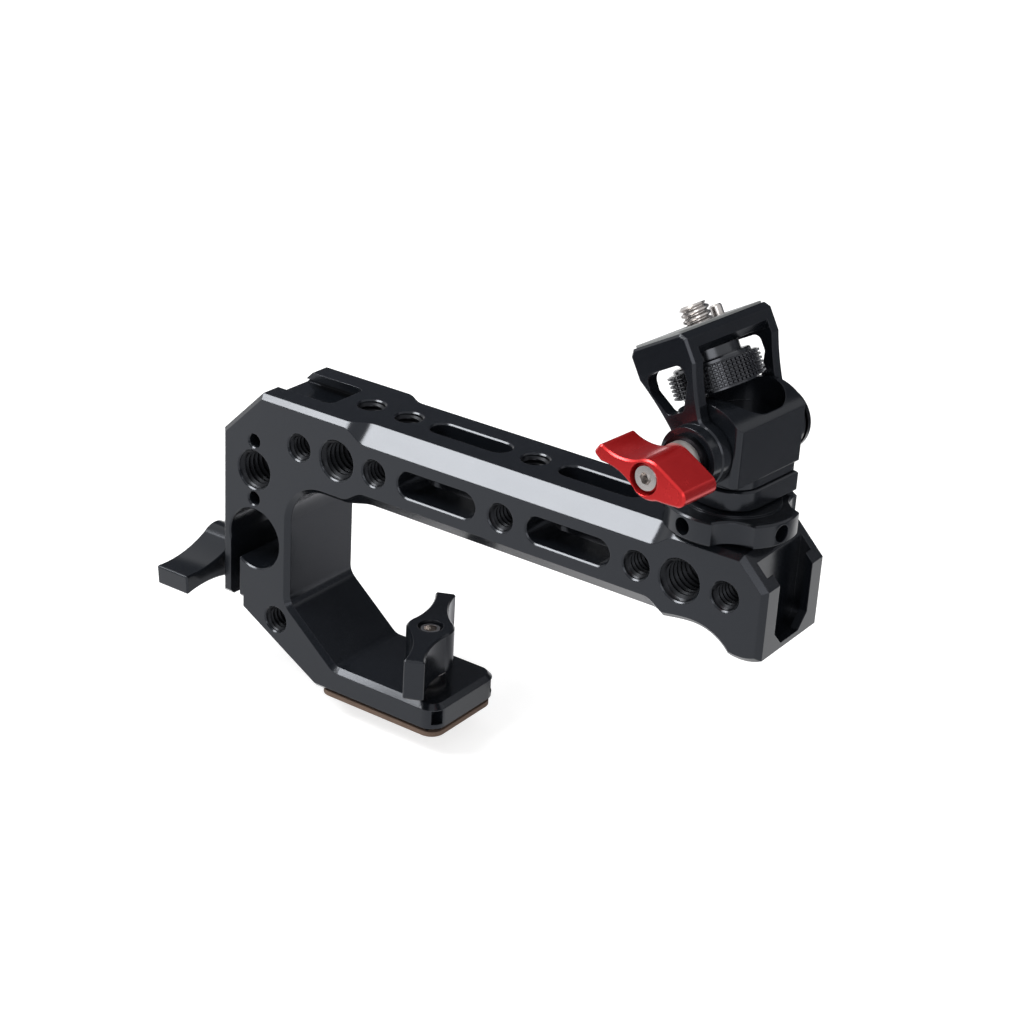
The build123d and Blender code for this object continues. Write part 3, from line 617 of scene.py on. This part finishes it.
world = bpy.data.worlds.new("studioWorld")
bpy.context.scene.world = world
world.use_nodes = True
tree = world.node_tree
tree.nodes.clear()
light = addNode(tree, "ShaderNodeMapRange", {"To Min": studio["worldLight"]}, {"Value": seenDirectly(tree)})
background = addNode(
    tree, "ShaderNodeBackground", {"Color": (1, 1, 1, 1)}, {"Strength": light.outputs["Result"]}
)
addNode(tree, "ShaderNodeOutputWorld", links={"Surface": background.outputs["Background"]})

# curved grey walls round the foot stud's axis, seen only in reflections, which paint darker reflections (painted
# shade) on the faces that mirror them;
# with their distance, their heights, and the angles between which they stand, in degrees from straight back
# towards the right
wallCards = {
    "backCard": {"distance": 600, "low": 80, "high": 750, "from": -55, "to": 33, "colour": "#5c5e64"},
    "rightCard": {"distance": 600, "low": 80, "high": 330, "from": 33, "to": 65, "colour": "#8a8c92"},
    "mountCard": {"distance": 190, "low": 15, "high": 110, "from": 30, "to": 80, "colour": "#8a8c92"},
    "earCard": {"distance": 100, "low": 52, "high": 105, "from": 150, "to": 225, "colour": "#8a8c92"},
}
wallSteps = 24
for name, look in wallCards.items():
    mesh = bmesh.new()
    ends = [mesh.verts.new((0, look["distance"] * mm, look[height] * mm)) for height in ("low", "high")]
    edge = mesh.edges.new(ends)
    turn = Matrix.Rotation(math.radians(-look["to"]), 3, "Z")
    bmesh.ops.rotate(mesh, verts=ends, cent=(0, 0, 0), matrix=turn)
    bmesh.ops.spin(
        mesh, geom=ends + [edge], cent=(0, 0, 0), axis=(0, 0, 1), steps=wallSteps,
        angle=math.radians(look["to"] - look["from"]), use_merge=False,
    )
    linkCard(name, mesh, look["colour"])

# a card that lies on the floor behind the handle, seen only in reflections: it lacks the floor's glow, so the
# floor mirrored there is darker, a painted shade for the shade behind the object
floorShadeCard = {"frontLeft": (-60, 25), "backRight": (90, 130), "lift": 0.5, "colour": "#f2f2f6"}
cardMesh = flatSheet(floorShadeCard["frontLeft"], floorShadeCard["backRight"], floorHeight + floorShadeCard["lift"])
linkCard("floorShadeCard", cardMesh, floorShadeCard["colour"])

# sizes and distances of the lamps are in metres, powers in watts
lamps = {
    "key": {
        "towards": (-0.48, -0.42, 0.77), "distance": 0.9, "size": 0.45, "power": 8.0,
        "colour": (1, 1, 1), "onlyGloss": False,
    },
    # a sheet of light that lies along the beam's front chamfer as a reflection
    "gleam": {
        "towards": (-0.41, -0.42, 0.81), "distance": 0.88, "size": 0.42, "power": 6.5,
        "colour": (1, 0.985, 0.9), "onlyGloss": True,
    },
    "fill": {
        "towards": (0.6, -0.7, 0.35), "distance": 1.1, "size": 0.5, "power": 2.0,
        "colour": (1, 1, 1), "onlyGloss": False,
    },
}
middle = (cadLow + cadHigh) / 2
for name, lamp in lamps.items():
    data = bpy.data.lights.new(name, "AREA")
    data.shape = "SQUARE"
    data.size = lamp["size"]
    data.energy = lamp["power"]
    data.color = lamp["colour"]
    light = bpy.data.objects.new(name, data)
    towards = Vector(lamp["towards"]).normalized()
    light.location = middle + towards * lamp["distance"]
    light.rotation_mode = "QUATERNION"
    light.rotation_quaternion = towards.to_track_quat("Z", "Y")
    light.visible_diffuse = not lamp["onlyGloss"]
    bpy.context.scene.collection.objects.link(light)

# the angles are in degrees: round the object from its front to its right, up, and the camera's own roll
cameraPlace = {
    "location": (274.63, -375.19, 265.2),
    "azimuth": 34.03,
    "elevation": 24.615,
    "roll": 3.42,
    "lens": 77.87,
    "sensor": 36.0,
    "nearest": 10,
    "farthest": 20000,
}
azimuth, elevation, roll = (math.radians(cameraPlace[name]) for name in ("azimuth", "elevation", "roll"))
level = Vector((math.cos(azimuth), math.sin(azimuth), 0))
back = level.cross(zAxis) * math.cos(elevation) + zAxis * math.sin(elevation)
upright = back.cross(level)
right = level * math.cos(roll) + upright * math.sin(roll)
up = upright * math.cos(roll) - level * math.sin(roll)
cameraData = bpy.data.cameras.new("studioCamera")
cameraData.lens = cameraPlace["lens"]
cameraData.sensor_width = cameraPlace["sensor"]
cameraData.clip_start = cameraPlace["nearest"] * mm
cameraData.clip_end = cameraPlace["farthest"] * mm
camera = bpy.data.objects.new("studioCamera", cameraData)
turn = Matrix((right, up, back)).transposed().to_4x4()
camera.matrix_world = Matrix.Translation(Vector(cameraPlace["location"]) * mm) @ turn
bpy.context.scene.collection.objects.link(camera)
bpy.context.scene.camera = camera
bpy.context.scene.view_settings.view_transform = "Standard"
print("stage, lights and camera set")
